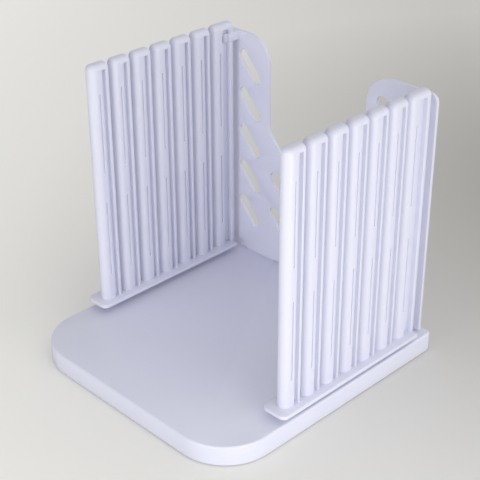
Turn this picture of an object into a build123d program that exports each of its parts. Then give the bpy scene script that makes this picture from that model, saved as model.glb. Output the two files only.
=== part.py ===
"""Folding bread slicer guide: a base plate, a slotted back panel and two hinged side combs.

Millimetres, +Z up. The origin is on the floor under the middle of the object. The front of the
guide, where the combs end, faces -Y, and X runs from the left comb to the right comb.
"""
from build123d import *
from math import cos, radians, tan
import os

# ---------------------------------------------------------------- driving dimensions
# Base plate: a moulded board, hollow from below
BASE_WIDTH = 160.0
BASE_DEPTH = 165.0
BASE_TOP = 12.0
BASE_FRONT_RADIUS = 30.0
BASE_BACK_RADIUS = 3.0
BASE_EDGE_ROUND = 1.2
BASE_WALL = 2.6
BASE_SKIN = 2.6
BASE_INNER_ROUND = 0.4
RIB_THICK = 1.8
RIB_PITCH = 26.0
REAR_BAR = 15.0

# Rubber pads under the base
PAD_RADIUS = 6.5
PAD_THICK = 2.0
PAD_PROUD = 0.6
PAD_INSET = 20.0
PAD_BOSS_WALL = 2.2

# Back panel
PANEL_THICK = 2.0
PANEL_DROP = 6.4
PANEL_BACK_INSET = 3.5
PANEL_SIDE_INSET = 5.4
PANEL_LEFT_CORNER = 1.5
PANEL_RIGHT_CORNER = 5.0
WING_LEFT_EDGE = -45.5
WING_RIGHT_EDGE = 28.0
WING_CORNER = 17.0
DIP_SHOULDER = 99.5
DIP_FLOOR = 83.0
DIP_ROUND = 9.0

# Slanted slots in the back panel, with upright ends
SLOT_ANGLE = 50.0
SLOT_SPAN = 17.6
SLOT_WIDTH = 7.4
SLOT_CORNER = 3.6
SLOT_FIRST_X = -61.3
SLOT_FIRST_Z = 40.1
SLOT_PITCH_X = 26.3
SLOT_PITCH_Z = 24.0
SLOT_COLUMNS = 5
SLOT_LOW_ROWS = 2
SLOT_WING_ROWS = 5

# Tabs that hold the back panel in the base
TAB_WIDTH = 24.0
TAB_LENGTH = 8.0
TAB_PITCH = 52.0
TAB_COUNT = 3
TAB_GAP = 0.1

# Side combs
COMB_INSET = 6.7
COMB_THICK = 7.8
COMB_BOTTOM = 16.0
COMB_TOP = 163.2
LEFT_COMB_SETBACK = 5.5
RIGHT_COMB_SETBACK = 8.5
FINGER_COUNT = 7
FINGER_PITCH = 15.0
FINGER_LENGTH = 11.8
REAR_FINGER_LENGTH = 15.5
FINGER_TOP_ROUND = 3.0
FINGER_NOSE_ROUND = 3.4
FINGER_REAR_CHAMFER = 0.6
CHANNEL_START = 7.0
CHANNEL_DEPTH = 2.8
CHANNEL_RIM = 2.0
REAR_CHANNEL_RIM = 2.8
CHANNEL_TOP_WALL = 3.2
FOOT_THICK = 2.2
FOOT_WIDTH = 16.0
FOOT_LEAD = 5.0
FOOT_FRONT_ROUND = 3.6
FOOT_BACK_CUT = 1.5

# Long narrow grooves along each finger's nose
GROOVE_WIDTH = 1.0
GROOVE_DEPTH = 0.8
GROOVE_SETBACK = 4.3
GROOVE_END_MARGIN = 16.5
GROOVE_BREAK = 19.0

# Hinges: a post on the base under each comb's foot, and an ear at the top of the back panel.
# The left pins stand inside the rear finger, and the right ones beside it.
PIN_RADIUS = 1.2
PIN_HEAD_RADIUS = 2.1
PIN_HEAD_THICK = 0.9
PIN_TAIL = 0.6
PIN_ROOT = 7.0
PIN_BOSS_WALL = 2.6
BORE_CLEARANCE = 0.1
BARREL_RADIUS = 2.6
HINGE_END_GAP = 0.3
EAR_THICK = 3.0
TONGUE_THICK = 4.0
TONGUE_ROOT = 2.0
FOOT_FOLD_GAP = 1.4
FOOT_STACK_GAP = 0.6
RIGHT_AXIS_INSET = 7.3
KNUCKLE_SETBACK = 5.5
KNUCKLE_SIDE_GAP = 0.2
KNUCKLE_THICK = 5.0
LEFT_PIN_REACH = 8.0
LEFT_PIN_SINK = 0.6
CHEEK_THICK = 2.0
CHEEK_SETBACK = 4.8
CHEEK_BOTTOM = 20.0

# How far an ear, tab or finger is sunk into the wall that it grows from
SEAT_OVERLAP = 0.1

# ---------------------------------------------------------------- places worked out from them
BASE_BOTTOM = PAD_PROUD
HALF_WIDTH = BASE_WIDTH / 2
BASE_BACK = BASE_DEPTH / 2

PANEL_BACK = BASE_BACK - PANEL_BACK_INSET
PANEL_FRONT = PANEL_BACK - PANEL_THICK
PANEL_HALF = HALF_WIDTH - PANEL_SIDE_INSET
PANEL_TOP = COMB_TOP - PANEL_DROP

COMB_CENTRE = HALF_WIDTH - COMB_INSET
COMB_LENGTH = (FINGER_COUNT - 1) * FINGER_PITCH + REAR_FINGER_LENGTH
LEFT_REAR = PANEL_FRONT - LEFT_COMB_SETBACK
RIGHT_REAR = PANEL_FRONT - RIGHT_COMB_SETBACK

FOOT_TOP = COMB_BOTTOM + FOOT_THICK
NOSE_RADIUS = COMB_THICK / 2
CHANNEL_TOP = COMB_TOP - CHANNEL_TOP_WALL

# Folded inwards, the left comb lies against the panel and the right comb lies over the left one.
LEFT_FOLDED_Y = PANEL_FRONT - FOOT_FOLD_GAP - FOOT_WIDTH / 2
RIGHT_FOLDED_Y = LEFT_FOLDED_Y - FOOT_WIDTH - FOOT_STACK_GAP
LEFT_AXIS = (-COMB_CENTRE, LEFT_FOLDED_Y)
RIGHT_AXIS = (COMB_CENTRE - RIGHT_AXIS_INSET, RIGHT_FOLDED_Y + RIGHT_AXIS_INSET)

# Heights of the hinge parts
EAR_BOTTOM = PANEL_TOP - EAR_THICK
TONGUE_TOP = EAR_BOTTOM - HINGE_END_GAP
TONGUE_BOTTOM = TONGUE_TOP - TONGUE_THICK
POST_TOP = COMB_BOTTOM - HINGE_END_GAP
KNUCKLE_BOTTOM = PANEL_TOP - KNUCKLE_THICK


def block(x_min, x_max, y_min, y_max, z_min, z_max):
    """A plain block between two corners."""
    size = (x_max - x_min, y_max - y_min, z_max - z_min)
    middle = ((x_min + x_max) / 2, (y_min + y_max) / 2, (z_min + z_max) / 2)
    return Pos(*middle) * Box(*size)


def post(x, y, z_min, z_max, radius):
    """An upright cylinder between two heights."""
    return Pos(x, y, (z_min + z_max) / 2) * Cylinder(radius, z_max - z_min)


# ---------------------------------------------------------------- base plate
def base_outline(inset=0.0):
    """The plan of the base plate: two wide front corners and two small back ones."""
    front = BASE_FRONT_RADIUS - inset
    back = max(BASE_BACK_RADIUS - inset, BASE_INNER_ROUND)
    plan = Rectangle(BASE_WIDTH - 2 * inset, BASE_DEPTH - 2 * inset)
    plan = fillet(plan.vertices().group_by(Axis.Y)[0], front)
    return fillet(plan.vertices().group_by(Axis.Y)[-1].filter_by(lambda v: abs(v.X) > 1), back)


def pad_places():
    """Centres of the four rubber pads, clear of the rounded front corners."""
    x = HALF_WIDTH - PAD_INSET
    return [(sx * x, sy * (BASE_BACK - PAD_INSET)) for sy in (-1, 1) for sx in (-1, 1)]


def underside_pockets():
    """The hollows between the ribs under the plate."""
    open_depth = BASE_DEPTH - BASE_WALL - REAR_BAR
    open_middle = (BASE_WALL - REAR_BAR) / 2
    region = base_outline(BASE_WALL) & Pos(0, open_middle) * Rectangle(BASE_WIDTH, open_depth)
    columns = int((BASE_WIDTH - 2 * BASE_WALL) / 2 / RIB_PITCH)
    for i in range(-columns, columns + 1):
        region -= Pos(i * RIB_PITCH, 0) * Rectangle(RIB_THICK, BASE_DEPTH)
    rows = int(BASE_DEPTH / RIB_PITCH)
    for i in range(rows):
        y = BASE_BACK - REAR_BAR - i * RIB_PITCH
        region -= Pos(0, y) * Rectangle(BASE_WIDTH, RIB_THICK)
    for x, y in pad_places():
        region -= Pos(x, y) * Circle(PAD_RADIUS + PAD_BOSS_WALL)
    for axis in (LEFT_AXIS, RIGHT_AXIS):
        region -= Pos(*axis) * Circle(PIN_RADIUS + PIN_BOSS_WALL)
    kept = [face for face in region.faces() if face.area > RIB_PITCH]
    depth = BASE_TOP - BASE_SKIN - BASE_BOTTOM
    return [extrude(Pos(0, 0, BASE_BOTTOM) * face, depth) for face in kept]


def tab_places():
    """Middles of the panel's tabs along X."""
    return [(i - (TAB_COUNT - 1) / 2) * TAB_PITCH for i in range(TAB_COUNT)]


def make_base_plate():
    plate = extrude(Pos(0, 0, BASE_BOTTOM) * base_outline(), BASE_TOP - BASE_BOTTOM)
    plate = fillet(plate.faces().sort_by(Axis.Z)[-1].edges(), BASE_EDGE_ROUND)
    plate += [post(*axis, BASE_TOP - SEAT_OVERLAP, POST_TOP, BARREL_RADIUS)
              for axis in (LEFT_AXIS, RIGHT_AXIS)]
    cuts = underside_pockets()
    cuts += [post(*axis, PIN_ROOT, POST_TOP + 1, PIN_RADIUS) for axis in (LEFT_AXIS, RIGHT_AXIS)]
    for x, y in pad_places():
        cuts.append(post(x, y, BASE_BOTTOM - 1, PAD_THICK, PAD_RADIUS))
    half = TAB_WIDTH / 2 + TAB_GAP
    for x in tab_places():
        cuts.append(block(x - half, x + half, PANEL_FRONT - TAB_GAP, PANEL_BACK + TAB_GAP,
                          BASE_TOP - TAB_LENGTH - TAB_GAP, BASE_TOP + 1))
    return plate - cuts


def make_pad(x, y):
    """A round rubber pad, sunk into its recess and standing a little proud below the plate."""
    return post(x, y, 0, PAD_THICK, PAD_RADIUS)


# ---------------------------------------------------------------- back panel
def panel_outline():
    """The panel seen from the front: two tall wings and a dip between them."""
    run = (DIP_SHOULDER - DIP_FLOOR) / tan(radians(SLOT_ANGLE))
    corners = [
        (-PANEL_HALF, BASE_TOP),
        (PANEL_HALF, BASE_TOP),
        (PANEL_HALF, PANEL_TOP),
        (WING_RIGHT_EDGE, PANEL_TOP),
        (WING_RIGHT_EDGE, DIP_SHOULDER),
        (WING_RIGHT_EDGE - run, DIP_FLOOR),
        (WING_LEFT_EDGE + run, DIP_FLOOR),
        (WING_LEFT_EDGE, DIP_SHOULDER),
        (WING_LEFT_EDGE, PANEL_TOP),
        (-PANEL_HALF, PANEL_TOP),
    ]
    face = make_face(Polyline(*corners, close=True))
    inner_top = [v for v in face.vertices()
                 if v.Y > PANEL_TOP - 1 and abs(v.X) < PANEL_HALF - 1]
    face = fillet(inner_top, WING_CORNER)
    for side, radius in ((-1, PANEL_LEFT_CORNER), (1, PANEL_RIGHT_CORNER)):
        outer_top = [v for v in face.vertices()
                     if v.Y > PANEL_TOP - 1 and side * v.X > PANEL_HALF - 1]
        face = fillet(outer_top, radius)
    dip = [v for v in face.vertices()
           if DIP_FLOOR - 1 < v.Y < DIP_SHOULDER + 1 and abs(v.X) < PANEL_HALF - 1]
    return fillet(dip, DIP_ROUND)


def slot_shape():
    """One slanted slot, high at its left end, with upright ends and its two sharp corners rounded."""
    half = SLOT_SPAN / 2
    drop = half * tan(radians(SLOT_ANGLE))
    rise = SLOT_WIDTH / cos(radians(SLOT_ANGLE)) / 2
    corners = [(-half, drop - rise), (half, -drop - rise), (half, -drop + rise), (-half, drop + rise)]
    face = make_face(Polyline(*corners, close=True))
    by_height = face.vertices().sort_by(Axis.Y)
    return fillet([by_height[0], by_height[-1]], SLOT_CORNER)


def slot_pattern():
    """Two rows of slots across the panel, and more rows up each wing."""
    shapes = []
    for column in range(SLOT_COLUMNS):
        on_wing = column in (0, SLOT_COLUMNS - 1)
        rows = SLOT_WING_ROWS if on_wing else SLOT_LOW_ROWS
        x = SLOT_FIRST_X + column * SLOT_PITCH_X
        for row in range(rows):
            shapes.append(Pos(x, SLOT_FIRST_Z + row * SLOT_PITCH_Z) * slot_shape())
    return shapes


def left_knuckle():
    """The knuckle that enters the left rear finger from behind. It has the finger's own section,
    a slim web with a wide rim, so that the finger looks unbroken."""
    x, y = LEFT_AXIS
    web = COMB_THICK / 2 - CHANNEL_DEPTH
    rim = COMB_THICK / 2 - KNUCKLE_SIDE_GAP
    rim_start = LEFT_REAR - REAR_CHANNEL_RIM
    knuckle = post(x, y, KNUCKLE_BOTTOM, PANEL_TOP, BARREL_RADIUS)
    knuckle += block(x - web, x + web, y, rim_start + SEAT_OVERLAP, KNUCKLE_BOTTOM, PANEL_TOP)
    knuckle += block(-PANEL_HALF, x + rim, rim_start, PANEL_FRONT + SEAT_OVERLAP,
                     KNUCKLE_BOTTOM, PANEL_TOP)
    return knuckle - post(x, y, KNUCKLE_BOTTOM - 1, PANEL_TOP + 1, PIN_RADIUS)


def right_ear():
    """The ear at the panel's top edge that reaches forward to the right comb's hinge axis."""
    x, y = RIGHT_AXIS
    ear = post(x, y, EAR_BOTTOM, PANEL_TOP, BARREL_RADIUS)
    ear += block(x - BARREL_RADIUS, x, y, PANEL_FRONT + SEAT_OVERLAP, EAR_BOTTOM, PANEL_TOP)
    return ear - post(x, y, EAR_BOTTOM - 1, PANEL_TOP + 1, PIN_RADIUS)


def right_cheek():
    """The upright wall that stiffens the long ear of the right hinge."""
    left = RIGHT_AXIS[0] - BARREL_RADIUS
    return block(left, left + CHEEK_THICK, RIGHT_AXIS[1] + CHEEK_SETBACK,
                 PANEL_FRONT + SEAT_OVERLAP, CHEEK_BOTTOM, EAR_BOTTOM + SEAT_OVERLAP)


def make_back_panel():
    face = panel_outline()
    for shape in slot_pattern():
        face -= shape
    plate = extrude(Plane.XZ.offset(-PANEL_BACK) * face, PANEL_THICK)
    for x in tab_places():
        plate += block(x - TAB_WIDTH / 2, x + TAB_WIDTH / 2, PANEL_FRONT, PANEL_BACK,
                       BASE_TOP - TAB_LENGTH, BASE_TOP + SEAT_OVERLAP)
    return plate + left_knuckle() + right_cheek() + right_ear()


# ---------------------------------------------------------------- side combs
def finger_plan(length):
    """A finger seen from above, with its nose at the origin and its back at +Y."""
    half = COMB_THICK / 2
    plan = Pos(0, NOSE_RADIUS) * Circle(NOSE_RADIUS)
    plan += Pos(0, (NOSE_RADIUS + length) / 2) * Rectangle(COMB_THICK, length - NOSE_RADIUS)
    back = [v for v in plan.vertices() if v.Y > length - 0.1 and abs(abs(v.X) - half) < 0.1]
    return chamfer(back, FINGER_REAR_CHAMFER)


def finger_crown(length):
    """The space under the rounded top of a finger: a soft nose along Y and soft sides along X."""
    half = COMB_THICK / 2
    front = Pos(half, 0) * Rectangle(COMB_THICK, 2 * COMB_TOP)
    front = fillet(front.vertices().group_by(Axis.Y)[-1], FINGER_TOP_ROUND)
    across = extrude(Plane.XZ * (Pos(-half, 0) * front), -length)
    side = Pos(length / 2, 0) * Rectangle(length, 2 * COMB_TOP)
    side = fillet(side.vertices().group_by(Axis.Y)[-1].sort_by(Axis.X)[0], FINGER_NOSE_ROUND)
    along = extrude(Plane.YZ.offset(-half) * side, COMB_THICK)
    return across & along


def make_finger(length, rim):
    """One finger: a round nose, a sunk channel in each side and a flat rim at the back."""
    half = COMB_THICK / 2
    finger = extrude(Pos(0, 0, FOOT_TOP - SEAT_OVERLAP) * finger_plan(length),
                     COMB_TOP - FOOT_TOP + SEAT_OVERLAP)
    finger = finger & finger_crown(length)
    groove_low = FOOT_TOP + GROOVE_END_MARGIN
    groove_high = COMB_TOP - GROOVE_END_MARGIN
    groove_middle = (groove_low + groove_high) / 2
    runs = [(groove_low, groove_middle - GROOVE_BREAK / 2),
            (groove_middle + GROOVE_BREAK / 2, groove_high)]
    cuts = []
    for side in (-1, 1):
        inner, outer = sorted((side * (half - CHANNEL_DEPTH), side * (half + 1)))
        cuts.append(block(inner, outer, CHANNEL_START, length - rim, FOOT_TOP, CHANNEL_TOP))
        inner, outer = sorted((side * (half - GROOVE_DEPTH), side * (half + 1)))
        for low, high in runs:
            cuts.append(block(inner, outer, GROOVE_SETBACK, GROOVE_SETBACK + GROOVE_WIDTH,
                              low, high))
    return finger - cuts


def foot_plan(tip, back):
    """The flange under the fingers, with rounded front corners."""
    front = tip - FOOT_LEAD
    plan = Pos(0, (front + back) / 2) * Rectangle(FOOT_WIDTH, back - front)
    return fillet(plan.vertices().group_by(Axis.Y)[0], FOOT_FRONT_ROUND)


def hinge_tongue(axis, x_range, y_range, bottom, top):
    """A flat tongue from a comb to its hinge axis, round at the axis."""
    return post(*axis, bottom, top, BARREL_RADIUS) + block(*x_range, *y_range, bottom, top)


def make_comb(centre, rear):
    """One comb without its hinge tongues: fingers on a foot."""
    tip = rear - COMB_LENGTH
    foot = foot_plan(tip, rear - FOOT_BACK_CUT)
    comb = Pos(centre, 0, COMB_BOTTOM) * extrude(foot, FOOT_THICK)
    finger = make_finger(FINGER_LENGTH, CHANNEL_RIM)
    rear_finger = make_finger(REAR_FINGER_LENGTH, REAR_CHANNEL_RIM)
    fingers = [Pos(centre, tip + i * FINGER_PITCH) * finger for i in range(FINGER_COUNT - 1)]
    return comb + fingers + [Pos(centre, rear - REAR_FINGER_LENGTH) * rear_finger]


def make_left_comb():
    """The left comb. Its rear finger turns on two pins, and a slit at its back takes the knuckle."""
    x, y = LEFT_AXIS
    slit = block(x - COMB_THICK, x + COMB_THICK, y - KNUCKLE_SETBACK, LEFT_REAR + 1,
                 KNUCKLE_BOTTOM - HINGE_END_GAP, PANEL_TOP + HINGE_END_GAP)
    radius = PIN_RADIUS + BORE_CLEARANCE
    lower_bore = post(x, y, COMB_BOTTOM - 1, FOOT_TOP + LEFT_PIN_REACH + LEFT_PIN_SINK, radius)
    upper_bore = post(x, y, KNUCKLE_BOTTOM - LEFT_PIN_REACH - LEFT_PIN_SINK, COMB_TOP + 1, radius)
    return make_comb(-COMB_CENTRE, LEFT_REAR) - slit - lower_bore - upper_bore


def make_right_comb():
    """The right comb. Two tongues reach sideways from its rear finger to the pins."""
    x, y = RIGHT_AXIS
    finger_face = COMB_CENTRE - COMB_THICK / 2
    beside = (y - BARREL_RADIUS, y + BARREL_RADIUS)
    upper = hinge_tongue(RIGHT_AXIS, (x, finger_face + TONGUE_ROOT), beside,
                         TONGUE_BOTTOM, TONGUE_TOP)
    lower = hinge_tongue(RIGHT_AXIS, (x, finger_face), beside, COMB_BOTTOM, FOOT_TOP)
    radius = PIN_RADIUS + BORE_CLEARANCE
    bores = [post(x, y, COMB_BOTTOM - 1, FOOT_TOP + 1, radius),
             post(x, y, TONGUE_BOTTOM - 1, TONGUE_TOP + 1, radius)]
    return make_comb(COMB_CENTRE, RIGHT_REAR) + [upper, lower] - bores


# ---------------------------------------------------------------- hinge pins
def make_plain_pin(axis, bottom, top):
    """A pin with no head, for a bore that hides it."""
    return post(*axis, bottom, top, PIN_RADIUS)


def make_headed_pin(axis, bottom, top):
    """A headed pin. The head rests at the given top, and the shank reaches down to the bottom."""
    head = post(*axis, top, top + PIN_HEAD_THICK, PIN_HEAD_RADIUS)
    return make_plain_pin(axis, bottom, top) + head


# ---------------------------------------------------------------- write the parts
parts = {
    "base_plate": make_base_plate(),
    "back_panel": make_back_panel(),
    "left_comb": make_left_comb(),
    "right_comb": make_right_comb(),
}
for corner, (pad_x, pad_y) in zip(("front_left", "front_right", "back_left", "back_right"),
                                  pad_places()):
    parts["pad_" + corner] = make_pad(pad_x, pad_y)
parts["left_lower_hinge_pin"] = make_plain_pin(LEFT_AXIS, PIN_ROOT, FOOT_TOP + LEFT_PIN_REACH)
parts["left_upper_hinge_pin"] = make_plain_pin(LEFT_AXIS, KNUCKLE_BOTTOM - LEFT_PIN_REACH,
                                               COMB_TOP - LEFT_PIN_SINK)
parts["right_lower_hinge_pin"] = make_headed_pin(RIGHT_AXIS, PIN_ROOT, FOOT_TOP + HINGE_END_GAP)
parts["right_upper_hinge_pin"] = make_headed_pin(RIGHT_AXIS, TONGUE_BOTTOM - PIN_TAIL, PANEL_TOP)

os.makedirs("parts", exist_ok=True)
for node, solid in parts.items():
    export_step(solid, f"parts/{node}.step")
print("left hinge axis", LEFT_AXIS, "right hinge axis", RIGHT_AXIS)
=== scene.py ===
"""Looks of a folding bread slicer guide: white moulded plastic on a pale floor.

Everything is in metres, in the CAD frame: +Z up, the open front towards -Y, and X from the left comb
to the right comb.
"""
import bmesh
import bpy
from math import radians
from mathutils import Matrix, Vector


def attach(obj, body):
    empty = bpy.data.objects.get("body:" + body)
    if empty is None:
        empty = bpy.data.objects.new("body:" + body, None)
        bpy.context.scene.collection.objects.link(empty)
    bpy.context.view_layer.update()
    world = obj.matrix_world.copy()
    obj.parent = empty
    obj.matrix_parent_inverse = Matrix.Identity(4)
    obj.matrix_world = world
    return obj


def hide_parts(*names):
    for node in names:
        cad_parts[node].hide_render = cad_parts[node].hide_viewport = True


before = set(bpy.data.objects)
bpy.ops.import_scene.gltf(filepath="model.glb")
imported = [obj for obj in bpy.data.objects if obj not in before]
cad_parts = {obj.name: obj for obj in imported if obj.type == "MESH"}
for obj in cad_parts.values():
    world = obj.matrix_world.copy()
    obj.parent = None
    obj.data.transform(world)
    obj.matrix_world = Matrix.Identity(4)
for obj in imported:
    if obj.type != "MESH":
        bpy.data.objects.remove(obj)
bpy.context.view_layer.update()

MM = 0.001

# ---------------------------------------------------------------- sizes of the combs, in metres
FINGER_COUNT = 7
FINGER_PITCH = 15 * MM
FINGER_WIDTH = 7.8 * MM
FINGER_LENGTH = 11.8 * MM
REAR_FINGER_LENGTH = 15.5 * MM
FINGER_TOP = 163.2 * MM
CROWN_ROUND = 3.0 * MM
REAR_CORNER = 0.7 * MM
CHANNEL_START = 7.0 * MM
CHANNEL_DEPTH = 2.8 * MM
CHANNEL_TOP = 160.0 * MM
RIM = 2.0 * MM
REAR_RIM = 2.8 * MM
GROOVE_START = 4.3 * MM
GROOVE_END = 5.3 * MM
GROOVE_DEPTH = 0.8 * MM
GROOVE_RUNS = ((34.7 * MM, 81.2 * MM), (100.2 * MM, 146.7 * MM))
FOOT_BOTTOM = 16.0 * MM
FOOT_TOP = 18.2 * MM
FOOT_WIDTH = 16.0 * MM
FOOT_LEAD = 5.0 * MM
FOOT_CORNER = 3.6 * MM
FOOT_BACK_CUT = 1.5 * MM
COMB_CENTRE = 73.3 * MM
LEFT_TIP = -34.0 * MM
RIGHT_TIP = -37.0 * MM
# The fingers go this far down into the foot, so that no gap shows between them.
SINK = 0.3 * MM

# ---------------------------------------------------------------- hinges
LEFT_AXIS = (-73.3 * MM, 67.6 * MM)
RIGHT_AXIS = (66.0 * MM, 58.3 * MM)
BORE_RADIUS = 1.3 * MM
BORE_OVERRUN = 1 * MM
BARREL_RADIUS = 2.6 * MM
# The slit in the left rear finger, open to the back and to both sides
SLIT_BOTTOM = 151.7 * MM
SLIT_TOP = 156.9 * MM
SLIT_START = 6.1 * MM
# The right comb's upper tongue, which goes a little way into its rear finger
TONGUE_BOTTOM = 149.5 * MM
TONGUE_TOP = 153.5 * MM
TONGUE_ROOT = 2.0 * MM

# ---------------------------------------------------------------- panel
BOARD_TOP = 12 * MM
# Corners left of the band are the panel's left edge, which moves out by the reach.
PANEL_LEFT_BAND = -73.0 * MM
PANEL_REACH = 2.6 * MM
# Corners this near to the board's top are the panel's bottom edge, which moves up by the gap.
PANEL_FOOT_BAND = 0.15 * MM
PANEL_FOOT_GAP = 0.9 * MM

# ---------------------------------------------------------------- radii that moulding leaves
MOULD_EDGE = 0.3 * MM
FOOT_EDGE = 0.4 * MM
PANEL_EDGE = 0.35 * MM
SHARP = radians(40)
SMOOTH = radians(38)

# How finely each round is divided
NOSE_STEPS = 8
CROWN_STEPS = 6
REAR_CORNER_STEPS = 3
FOOT_CORNER_STEPS = 6
BARREL_STEPS = 10
EDGE_STEPS = 2
FOOT_EDGE_STEPS = 3
BORE_SIDES = 40

# ---------------------------------------------------------------- tolerances for picking and merging
NEAR = 0.05 * MM
NEAR_FOOT_FRONT = 0.1 * MM
# A full round stops this much short, so that its two sides don't meet on one line.
SHY = 0.01 * MM
ROUND_MERGE = 0.02 * MM
CHANNEL_MERGE = 0.005 * MM
FACET_MERGE = 0.001 * MM
FLAT = radians(0.5)
# A direction runs along an axis where its part along it is over ALONG, and runs across it where
# that part is under ACROSS.
ALONG = 0.9
ACROSS = 0.1


# ---------------------------------------------------------------- materials
# Noise keeps mostly to this band, so a Map Range node that stretches it starts from here.
NOISE_BAND = {"From Min": 0.3, "From Max": 0.7}
# The sockets of a Mix node that blends two colours
MIX_SHARE = 0
MIX_FIRST = 6
MIX_SECOND = 7
MIX_RESULT = 2


def linear(hex_colour):
    """An sRGB hex colour as linear RGBA."""
    parts = [int(hex_colour[i:i + 2], 16) / 255 for i in (1, 3, 5)]
    return [c / 12.92 if c <= 0.04045 else ((c + 0.055) / 1.055) ** 2.4 for c in parts] + [1.0]


def add_node(tree, kind, settings=None, inputs=None):
    """One shader node. Settings are its own properties, and inputs are values or sockets to link."""
    node = tree.nodes.new(kind)
    for name, value in (settings or {}).items():
        setattr(node, name, value)
    for name, value in (inputs or {}).items():
        socket = node.inputs[name]
        if isinstance(value, bpy.types.NodeSocket):
            tree.links.new(value, socket)
        else:
            socket.default_value = value
    return node


def fresh_material(name):
    """A new material, its tree, its Principled shader and the object coordinates."""
    material = bpy.data.materials.new(name)
    material.use_nodes = True
    tree = material.node_tree
    place = add_node(tree, "ShaderNodeTexCoord").outputs["Object"]
    return material, tree, tree.nodes["Principled BSDF"], place


def moulded_abs(name, gloss_low, gloss_high, peel_size):
    """Injection-moulded white ABS, faintly lavender. The melt's flow leaves a slow drift of tone,
    and the mould leaves a patchy semi-gloss and a very fine orange peel."""
    flow_size = 45 * MM
    cloud_size = 6 * MM
    cloud_share = 0.3
    gloss_patch = 9 * MM
    material, tree, shader, place = fresh_material(name)
    flow = add_node(tree, "ShaderNodeTexNoise", inputs={
        "Vector": place, "Scale": 1 / flow_size, "Detail": 2.0})
    drift = add_node(tree, "ShaderNodeMapRange", inputs={
        "Value": flow.outputs["Fac"], **NOISE_BAND})
    cloud = add_node(tree, "ShaderNodeTexNoise", inputs={
        "Vector": place, "Scale": 1 / cloud_size, "Detail": 4.0})
    clouding = add_node(tree, "ShaderNodeMapRange", inputs={
        "Value": cloud.outputs["Fac"], **NOISE_BAND})
    blend = add_node(tree, "ShaderNodeMath", {"operation": "MULTIPLY_ADD"}, {
        0: clouding.outputs["Result"], 1: cloud_share, 2: drift.outputs["Result"]})
    share = add_node(tree, "ShaderNodeMapRange", inputs={
        "Value": blend.outputs["Value"], "From Min": 0.0, "From Max": 1.0 + cloud_share})
    tone = add_node(tree, "ShaderNodeMix", {"data_type": "RGBA"}, {
        MIX_SHARE: share.outputs["Result"],
        MIX_FIRST: linear("#E3E4F4"),
        MIX_SECOND: linear("#E1E2F2")})
    patches = add_node(tree, "ShaderNodeTexNoise", inputs={
        "Vector": place, "Scale": 1 / gloss_patch, "Detail": 4.0, "Roughness": 0.6})
    gloss = add_node(tree, "ShaderNodeMapRange", inputs={
        "Value": patches.outputs["Fac"], **NOISE_BAND, "To Min": gloss_low, "To Max": gloss_high})
    # The real peel is about 0.3 mm across. It is drawn two to three times as coarse, so that it
    # shows in a render.
    peel = add_node(tree, "ShaderNodeTexNoise", inputs={
        "Vector": place, "Scale": 1 / peel_size, "Detail": 2.0})
    bump = add_node(tree, "ShaderNodeBump", inputs={
        "Height": peel.outputs["Fac"], "Strength": 0.04, "Distance": 0.02 * MM})
    tree.links.new(tone.outputs[MIX_RESULT], shader.inputs["Base Color"])
    tree.links.new(gloss.outputs["Result"], shader.inputs["Roughness"])
    tree.links.new(bump.outputs["Normal"], shader.inputs["Normal"])
    shader.inputs["IOR"].default_value = 1.53
    return material


def moulded_acetal():
    """Moulded acetal for the hinge pins: slicker than the walls and less lavender, with a slight
    mottle."""
    mottle_size = 2 * MM
    gloss_patch = 1 * MM
    material, tree, shader, place = fresh_material("acetal_moulded_slick_white")
    mottle = add_node(tree, "ShaderNodeTexNoise", inputs={
        "Vector": place, "Scale": 1 / mottle_size, "Detail": 3.0})
    tone = add_node(tree, "ShaderNodeMix", {"data_type": "RGBA"}, {
        MIX_SHARE: mottle.outputs["Fac"],
        MIX_FIRST: linear("#E9EAF0"),
        MIX_SECOND: linear("#DCDDE6")})
    patches = add_node(tree, "ShaderNodeTexNoise", inputs={
        "Vector": place, "Scale": 1 / gloss_patch, "Detail": 3.0})
    gloss = add_node(tree, "ShaderNodeMapRange", inputs={
        "Value": patches.outputs["Fac"], **NOISE_BAND, "To Min": 0.18, "To Max": 0.30})
    tree.links.new(tone.outputs[MIX_RESULT], shader.inputs["Base Color"])
    tree.links.new(gloss.outputs["Result"], shader.inputs["Roughness"])
    shader.inputs["IOR"].default_value = 1.48
    return material


def soft_rubber():
    """Moulded thermoplastic rubber for the pads: matte mid grey with a fine pebbled skin."""
    mottle_size = 3 * MM
    gloss_patch = 2 * MM
    pebble_size = 0.6 * MM
    material, tree, shader, place = fresh_material("tpe_rubber_pebbled_grey")
    mottle = add_node(tree, "ShaderNodeTexNoise", inputs={
        "Vector": place, "Scale": 1 / mottle_size, "Detail": 5.0})
    tone = add_node(tree, "ShaderNodeMix", {"data_type": "RGBA"}, {
        MIX_SHARE: mottle.outputs["Fac"],
        MIX_FIRST: linear("#8E8E92"),
        MIX_SECOND: linear("#A3A3A6")})
    patches = add_node(tree, "ShaderNodeTexNoise", inputs={
        "Vector": place, "Scale": 1 / gloss_patch, "Detail": 3.0})
    gloss = add_node(tree, "ShaderNodeMapRange", inputs={
        "Value": patches.outputs["Fac"], **NOISE_BAND, "To Min": 0.70, "To Max": 0.85})
    pebble = add_node(tree, "ShaderNodeTexVoronoi", inputs={
        "Vector": place, "Scale": 1 / pebble_size})
    bump = add_node(tree, "ShaderNodeBump", inputs={
        "Height": pebble.outputs["Distance"], "Strength": 0.5, "Distance": 0.08 * MM})
    tree.links.new(tone.outputs[MIX_RESULT], shader.inputs["Base Color"])
    tree.links.new(gloss.outputs["Result"], shader.inputs["Roughness"])
    tree.links.new(bump.outputs["Normal"], shader.inputs["Normal"])
    return material


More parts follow.
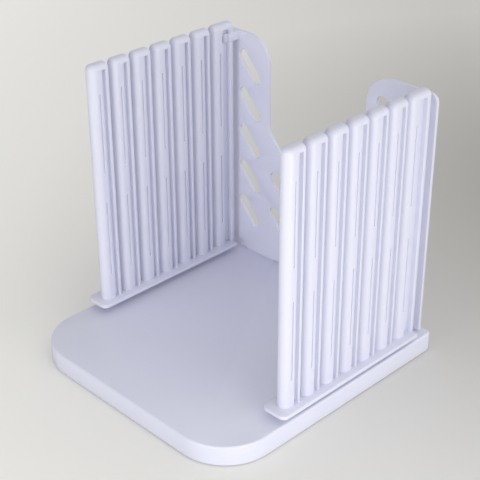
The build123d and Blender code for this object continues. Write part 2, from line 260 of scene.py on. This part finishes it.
wall_plastic = moulded_abs("abs_moulded_semi_gloss", 0.32, 0.35, 0.7 * MM)
board_plastic = moulded_abs("abs_moulded_satin", 0.30, 0.33, 0.9 * MM)
pin_plastic = moulded_acetal()
pad_rubber = soft_rubber()


def finish_with(piece, material):
    """The piece wears one material only."""
    piece.data.materials.clear()
    piece.data.materials.append(material)


# ---------------------------------------------------------------- modelling helpers
def only(piece):
    """Nothing but this piece is selected and active."""
    bpy.ops.object.select_all(action="DESELECT")
    piece.select_set(True)
    bpy.context.view_layer.objects.active = piece


def edit_all(piece):
    """Edit mode with the whole piece selected."""
    only(piece)
    bpy.ops.object.mode_set(mode="EDIT")
    bpy.ops.mesh.select_all(action="SELECT")


def start_picking(piece, kind):
    """Edit mode with nothing selected. Its mesh is given back, for picking parts of one kind."""
    only(piece)
    bpy.ops.object.mode_set(mode="EDIT")
    bpy.ops.mesh.select_mode(type=kind)
    bpy.ops.mesh.select_all(action="DESELECT")
    return bmesh.from_edit_mesh(piece.data)


def select_corners(piece, wanted):
    """Edit mode with only the corners selected whose place passes the test."""
    for corner in start_picking(piece, "VERT").verts:
        if wanted(corner.co):
            corner.select_set(True)
    bmesh.update_edit_mesh(piece.data)


def select_edges(piece, wanted):
    """Edit mode with only the edges selected whose middle and direction pass the test."""
    for edge in start_picking(piece, "EDGE").edges:
        a, b = edge.verts[0].co, edge.verts[1].co
        if wanted((a + b) / 2, (b - a).normalized()):
            edge.select_set(True)
    bmesh.update_edit_mesh(piece.data)


def select_faces(piece, wanted):
    """Edit mode with only the faces selected whose centre and normal pass the test."""
    for face in start_picking(piece, "FACE").faces:
        if wanted(face.calc_center_median(), face.normal):
            face.select_set(True)
    bmesh.update_edit_mesh(piece.data)


def new_block(name, low, high):
    """A block between two corners, ready to be shaped."""
    bpy.ops.object.select_all(action="DESELECT")
    middle = [(a + b) / 2 for a, b in zip(low, high)]
    bpy.ops.mesh.primitive_cube_add(size=1, location=middle)
    piece = bpy.context.object
    piece.scale = [b - a for a, b in zip(low, high)]
    piece.name = piece.data.name = name
    bpy.ops.object.transform_apply(location=True, rotation=True, scale=True)
    return piece


def new_bore(axis, low, high):
    """A round bar that cuts a pin's bore, and overruns it at both ends."""
    bpy.ops.object.select_all(action="DESELECT")
    bpy.ops.mesh.primitive_cylinder_add(
        vertices=BORE_SIDES, radius=BORE_RADIUS, depth=high - low + 2 * BORE_OVERRUN,
        location=(*axis, (low + high) / 2))
    bar = bpy.context.object
    bpy.ops.object.transform_apply(location=True, rotation=True, scale=True)
    return bar


def round_edges(piece, wanted, radius, steps):
    """The edges that pass the test are rounded."""
    select_edges(piece, wanted)
    bpy.ops.mesh.bevel(offset=radius, segments=steps, profile=0.5, affect="EDGES",
                       clamp_overlap=False)
    bpy.ops.mesh.select_all(action="SELECT")
    bpy.ops.mesh.remove_doubles(threshold=ROUND_MERGE)
    bpy.ops.object.mode_set(mode="OBJECT")


def cut_across(piece, place, normal):
    """The whole piece gets a ring of edges in one plane."""
    edit_all(piece)
    bpy.ops.mesh.bisect(plane_co=place, plane_no=normal)
    bpy.ops.object.mode_set(mode="OBJECT")


def sink_faces(piece, wanted, depth):
    """The faces that pass the test are pushed straight in, with upright walls round them."""
    select_faces(piece, wanted)
    bpy.ops.mesh.inset(thickness=0.0, depth=-depth, use_boundary=True)
    bpy.ops.object.mode_set(mode="OBJECT")


def drop_faces(piece, wanted):
    """The faces that pass the test are deleted, and corners left in one place are merged."""
    select_faces(piece, wanted)
    bpy.ops.mesh.delete(type="FACE")
    bpy.ops.mesh.select_mode(type="VERT")
    bpy.ops.mesh.select_all(action="SELECT")
    bpy.ops.mesh.remove_doubles(threshold=CHANNEL_MERGE)
    bpy.ops.object.mode_set(mode="OBJECT")


def soften(piece, width, steps=EDGE_STEPS):
    """Every sharp edge gets a small moulded radius, and the rest is shaded smooth."""
    only(piece)
    bevel = piece.modifiers.new("moulded_radius", "BEVEL")
    bevel.width = width
    bevel.segments = steps
    bevel.limit_method = "ANGLE"
    bevel.angle_limit = SHARP
    bevel.use_clamp_overlap = True
    bpy.ops.object.modifier_apply(modifier=bevel.name)
    bpy.ops.object.shade_smooth_by_angle(angle=SMOOTH)


def cut_away(piece, tool):
    """The tool's shape is cut out of the piece, and the tool is thrown away."""
    only(piece)
    cut = piece.modifiers.new("cut", "BOOLEAN")
    cut.operation = "DIFFERENCE"
    cut.object = tool
    bpy.ops.object.modifier_apply(modifier=cut.name)
    bpy.data.objects.remove(tool)


def copy_at(piece, offset):
    """A copy with its own mesh, moved by the offset in its mesh."""
    twin = piece.copy()
    twin.data = piece.data.copy()
    twin.data.transform(Matrix.Translation(offset))
    bpy.context.scene.collection.objects.link(twin)
    return twin


def join(name, pieces):
    """The pieces as one object."""
    bpy.ops.object.select_all(action="DESELECT")
    for piece in pieces:
        piece.select_set(True)
    bpy.context.view_layer.objects.active = pieces[0]
    bpy.ops.object.join()
    whole = bpy.context.object
    whole.name = whole.data.name = name
    return whole


# ---------------------------------------------------------------- comb fingers
def model_finger(name, length, rim, slit=False):
    """One finger with its nose at the origin: round nose, domed crown, channel and grooves on both
    sides, and a slit from behind where the panel's knuckle goes in."""
    half = FINGER_WIDTH / 2
    web = half - CHANNEL_DEPTH
    bottom = FOOT_TOP - SINK
    channel_end = length - rim
    channel_outlets = [bottom]
    finger = new_block(name, (-half, 0, bottom), (half, length, FINGER_TOP))
    round_edges(finger, lambda middle, way: abs(way.z) > ALONG and middle.y < NEAR,
                half - SHY, NOSE_STEPS)
    round_edges(finger, lambda middle, way: middle.z > FINGER_TOP - NEAR and middle.y < length - NEAR,
                CROWN_ROUND, CROWN_STEPS)
    round_edges(finger, lambda middle, way: abs(way.y) < ACROSS and middle.y > length - NEAR,
                REAR_CORNER, REAR_CORNER_STEPS)
    # The slit comes before the channels, because a cut through a finger with channels empties it.
    if slit:
        cut_away(finger, new_block("slit", (-FINGER_WIDTH, SLIT_START, SLIT_BOTTOM),
                                   (FINGER_WIDTH, 2 * length, SLIT_TOP)))
        channel_outlets += [SLIT_BOTTOM, SLIT_TOP]
    for x in (-web, web):
        cut_across(finger, (x, 0, 0), (1, 0, 0))
    for y in (CHANNEL_START, channel_end, GROOVE_START, GROOVE_END):
        cut_across(finger, (0, y, 0), (0, 1, 0))
    for z in [CHANNEL_TOP] + [end for run in GROOVE_RUNS for end in run]:
        cut_across(finger, (0, 0, z), (0, 0, 1))

    def in_channel(centre, normal):
        return (abs(normal.x) > ALONG and CHANNEL_START < centre.y < channel_end
                and centre.z < CHANNEL_TOP)

    def in_groove(centre, normal):
        return (abs(normal.x) > ALONG and GROOVE_START < centre.y < GROOVE_END
                and any(low < centre.z < high for low, high in GROOVE_RUNS))

    def at_outlet(centre, normal):
        return (abs(normal.z) > ALONG and abs(centre.x) > web
                and CHANNEL_START < centre.y < channel_end
                and any(abs(centre.z - outlet) < NEAR for outlet in channel_outlets))

    sink_faces(finger, in_channel, CHANNEL_DEPTH)
    sink_faces(finger, in_groove, GROOVE_DEPTH)
    # Where the channel runs out at the finger's bottom or into the slit, its new end walls lie on
    # faces that the finger has there already, so both go.
    drop_faces(finger, at_outlet)
    return finger


# ---------------------------------------------------------------- combs
def model_foot(name, centre, tip, axis):
    """The flange under the fingers, with round front corners, soft edges and the lower pin's bore."""
    half = FOOT_WIDTH / 2
    front = tip - FOOT_LEAD
    rear = tip + (FINGER_COUNT - 1) * FINGER_PITCH + REAR_FINGER_LENGTH - FOOT_BACK_CUT
    foot = new_block(name, (centre - half, front, FOOT_BOTTOM), (centre + half, rear, FOOT_TOP))
    round_edges(foot, lambda middle, way: abs(way.z) > ALONG and middle.y < front + NEAR_FOOT_FRONT,
                FOOT_CORNER, FOOT_CORNER_STEPS)
    cut_away(foot, new_bore(axis, FOOT_BOTTOM, FOOT_TOP))
    soften(foot, FOOT_EDGE, FOOT_EDGE_STEPS)
    return foot


def model_tongue(name, bottom, top, root):
    """A tongue from the right comb to its pin, round about the pin."""
    x, y = RIGHT_AXIS
    tongue = new_block(name, (x - BARREL_RADIUS, y - BARREL_RADIUS, bottom),
                       (root, y + BARREL_RADIUS, top))
    round_edges(tongue, lambda middle, way: abs(way.z) > ALONG and middle.x < x,
                BARREL_RADIUS - SHY, BARREL_STEPS)
    cut_away(tongue, new_bore(RIGHT_AXIS, bottom, top))
    return tongue


def model_comb(side, centre, tip, axis, finger, rear_finger, tongues):
    """One comb: six fingers and the longer rear one on a foot, and any tongues."""
    last = FINGER_COUNT - 1
    parts = [copy_at(finger, (centre, tip + i * FINGER_PITCH, 0)) for i in range(last)]
    parts.append(copy_at(rear_finger, (centre, tip + last * FINGER_PITCH, 0)))
    parts += tongues
    foot = model_foot(side + "_foot", centre, tip, axis)
    for part in parts:
        soften(part, MOULD_EDGE)
    return join(side + "_comb_moulding", [foot] + parts)


finger_pattern = model_finger("finger_pattern", FINGER_LENGTH, RIM)
rear_finger_pattern = model_finger("rear_finger_pattern", REAR_FINGER_LENGTH, REAR_RIM)
slit_finger_pattern = model_finger("slit_finger_pattern", REAR_FINGER_LENGTH, REAR_RIM, slit=True)
left_comb_walls = model_comb("left", -COMB_CENTRE, LEFT_TIP, LEFT_AXIS,
                             finger_pattern, slit_finger_pattern, [])
finger_face = COMB_CENTRE - FINGER_WIDTH / 2
right_tongues = [model_tongue("upper_tongue", TONGUE_BOTTOM, TONGUE_TOP, finger_face + TONGUE_ROOT),
                 model_tongue("lower_tongue", FOOT_BOTTOM, FOOT_TOP, finger_face)]
right_comb_walls = model_comb("right", COMB_CENTRE, RIGHT_TIP, RIGHT_AXIS,
                              finger_pattern, rear_finger_pattern, right_tongues)
for pattern in (finger_pattern, rear_finger_pattern, slit_finger_pattern):
    bpy.data.objects.remove(pattern)


# ---------------------------------------------------------------- board and back panel
def welded_copy(node_name, name):
    """A copy of a moulded CAD piece, with its loose facets welded into whole faces."""
    twin = bpy.data.objects.new(name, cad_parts[node_name].data.copy())
    twin.data.name = name
    bpy.context.scene.collection.objects.link(twin)
    edit_all(twin)
    bpy.ops.mesh.remove_doubles(threshold=FACET_MERGE)
    bpy.ops.mesh.dissolve_limited(angle_limit=FLAT)
    bpy.ops.object.mode_set(mode="OBJECT")
    return twin


def move_corners(piece, wanted, offset):
    """The corners that pass the test are moved together."""
    select_corners(piece, wanted)
    bpy.ops.transform.translate(value=offset)
    bpy.ops.object.mode_set(mode="OBJECT")


board_body = welded_copy("base_plate", "board_moulding")
soften(board_body, MOULD_EDGE)
panel_body = welded_copy("back_panel", "panel_moulding")
# The panel's left edge reaches out behind the left comb.
move_corners(panel_body, lambda corner: corner.x < PANEL_LEFT_BAND, (-PANEL_REACH, 0, 0))
# The panel stands on its tabs, with a thin shadow under its bottom edge.
move_corners(panel_body, lambda corner: abs(corner.z - BOARD_TOP) < PANEL_FOOT_BAND,
             (0, 0, PANEL_FOOT_GAP))
soften(panel_body, PANEL_EDGE)

# ---------------------------------------------------------------- what each moulding stands for
for moulding, node, body, material in (
        (left_comb_walls, "left_comb", "left_comb", wall_plastic),
        (right_comb_walls, "right_comb", "right_comb", wall_plastic),
        (board_body, "base_plate", "base", board_plastic),
        (panel_body, "back_panel", "base", wall_plastic)):
    finish_with(moulding, material)
    finish_with(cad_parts[node], material)
    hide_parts(node)
    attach(moulding, body)

# ---------------------------------------------------------------- pads and pins, straight from the CAD
for node_name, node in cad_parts.items():
    if node_name.startswith("pad"):
        finish_with(node, pad_rubber)
    elif node_name.endswith("hinge_pin"):
        finish_with(node, pin_plastic)

# ---------------------------------------------------------------- floor
# Painted shadow: the paper turns a greyer tone about a spot behind the guide, where the guide's soft
# shadow falls.
FLOOR_SIZE = 6.0
PAINTED_SHADOW_SPOT = (0.05, 0.33, 0.0)
PAINTED_SHADOW_RADIUS = 0.08
PAINTED_SHADOW_EDGE = 0.42
# Painted light: the paper glows paler towards the left and the front, by this much for each metre
# along X and Y. Only the camera sees that glow, so it puts no more light on the guide.
PAINTED_LIGHT_WAY = (-0.373, -0.323, 0.0)
PAINTED_LIGHT_AT_CENTRE = 0.084
PAINTED_LIGHT_MOST = 0.25
bpy.ops.object.select_all(action="DESELECT")
bpy.ops.mesh.primitive_plane_add(size=FLOOR_SIZE, location=(0, 0, 0))
floor = bpy.context.object
floor.name = "floor"
paper, tree, shader, place = fresh_material("matte_paper")
# Painted shadow: the paper's colour darkens to the greyer tone towards the spot behind the guide.
away = add_node(tree, "ShaderNodeVectorMath", {"operation": "DISTANCE"}, {0: place, 1: PAINTED_SHADOW_SPOT})
share = add_node(tree, "ShaderNodeMapRange", inputs={
    "Value": away.outputs["Value"], "From Min": PAINTED_SHADOW_RADIUS, "From Max": PAINTED_SHADOW_EDGE})
tone = add_node(tree, "ShaderNodeMix", {"data_type": "RGBA"}, {
    MIX_SHARE: share.outputs["Result"],
    MIX_FIRST: linear("#BFBDB9"),
    MIX_SECOND: linear("#E8E7E3")})
# Painted light: a glow that only the camera sees, paler towards the left and the front.
way = add_node(tree, "ShaderNodeVectorMath", {"operation": "DOT_PRODUCT"}, {0: place, 1: PAINTED_LIGHT_WAY})
glow = add_node(tree, "ShaderNodeMapRange", inputs={
    "Value": way.outputs["Value"],
    "From Min": -PAINTED_LIGHT_AT_CENTRE, "From Max": PAINTED_LIGHT_MOST - PAINTED_LIGHT_AT_CENTRE,
    "To Min": 0.0, "To Max": PAINTED_LIGHT_MOST})
seen = add_node(tree, "ShaderNodeLightPath")
lift = add_node(tree, "ShaderNodeMath", {"operation": "MULTIPLY"}, {
    0: glow.outputs["Result"], 1: seen.outputs["Is Camera Ray"]})
tree.links.new(tone.outputs[MIX_RESULT], shader.inputs["Base Color"])
tree.links.new(lift.outputs["Value"], shader.inputs["Emission Strength"])
shader.inputs["Emission Color"].default_value = linear("#FFFEFA")
shader.inputs["Roughness"].default_value = 0.9
finish_with(floor, paper)

# ---------------------------------------------------------------- light
# A soft room that is brightest to the right, and two low softboxes close to the floor.
LIGHT_COLOUR = "#FFFFFF"
SKY_MEAN = 0.685
SKY_LEAN = (0.378, 0.161, 0.0)
world = bpy.data.worlds.new("soft_room")
bpy.context.scene.world = world
world.use_nodes = True
sky = world.node_tree
toward = add_node(sky, "ShaderNodeTexCoord")
lean = add_node(sky, "ShaderNodeVectorMath", {"operation": "DOT_PRODUCT"}, {
    0: toward.outputs["Generated"], 1: SKY_LEAN})
level = add_node(sky, "ShaderNodeMath", {"operation": "ADD"}, {
    0: lean.outputs["Value"], 1: SKY_MEAN})
backdrop = sky.nodes["Background"]
backdrop.inputs["Color"].default_value = linear(LIGHT_COLOUR)
sky.links.new(level.outputs["Value"], backdrop.inputs["Strength"])


def soft_lamp(name, place, target, size, watts):
    """A square softbox aimed at a point."""
    lamp = bpy.data.lights.new(name, "AREA")
    lamp.size = size
    lamp.energy = watts
    lamp.color = linear(LIGHT_COLOUR)[:3]
    stand = bpy.data.objects.new(name, lamp)
    bpy.context.scene.collection.objects.link(stand)
    stand.location = place
    stand.rotation_euler = (Vector(target) - Vector(place)).to_track_quat("-Z", "Y").to_euler()


soft_lamp("low_right", place=(0.40, -0.10, 0.03), target=(0, 0, 0.03), size=0.20, watts=0.55)
soft_lamp("low_front", place=(0.08, -0.55, 0.10), target=(0, 0, 0.04), size=0.25, watts=0.887)

# ---------------------------------------------------------------- camera
CAMERA_PLACE = (0.4050, -0.3921, 0.3853)
CAMERA_AZIMUTH = 45.372
CAMERA_ELEVATION = 28.988
CAMERA_ROLL = -0.255
LENS_LENGTH = 88.38
SENSOR_WIDTH = 36.0
lens = bpy.data.cameras.new("camera")
lens.lens = LENS_LENGTH
lens.sensor_width = SENSOR_WIDTH
camera = bpy.data.objects.new("camera", lens)
bpy.context.scene.collection.objects.link(camera)
camera.matrix_world = (Matrix.Translation(CAMERA_PLACE)
                       @ Matrix.Rotation(radians(CAMERA_AZIMUTH), 4, "Z")
                       @ Matrix.Rotation(radians(90 - CAMERA_ELEVATION), 4, "X")
                       @ Matrix.Rotation(radians(CAMERA_ROLL), 4, "Z"))
bpy.context.scene.camera = camera
bpy.context.scene.view_settings.view_transform = "Standard"
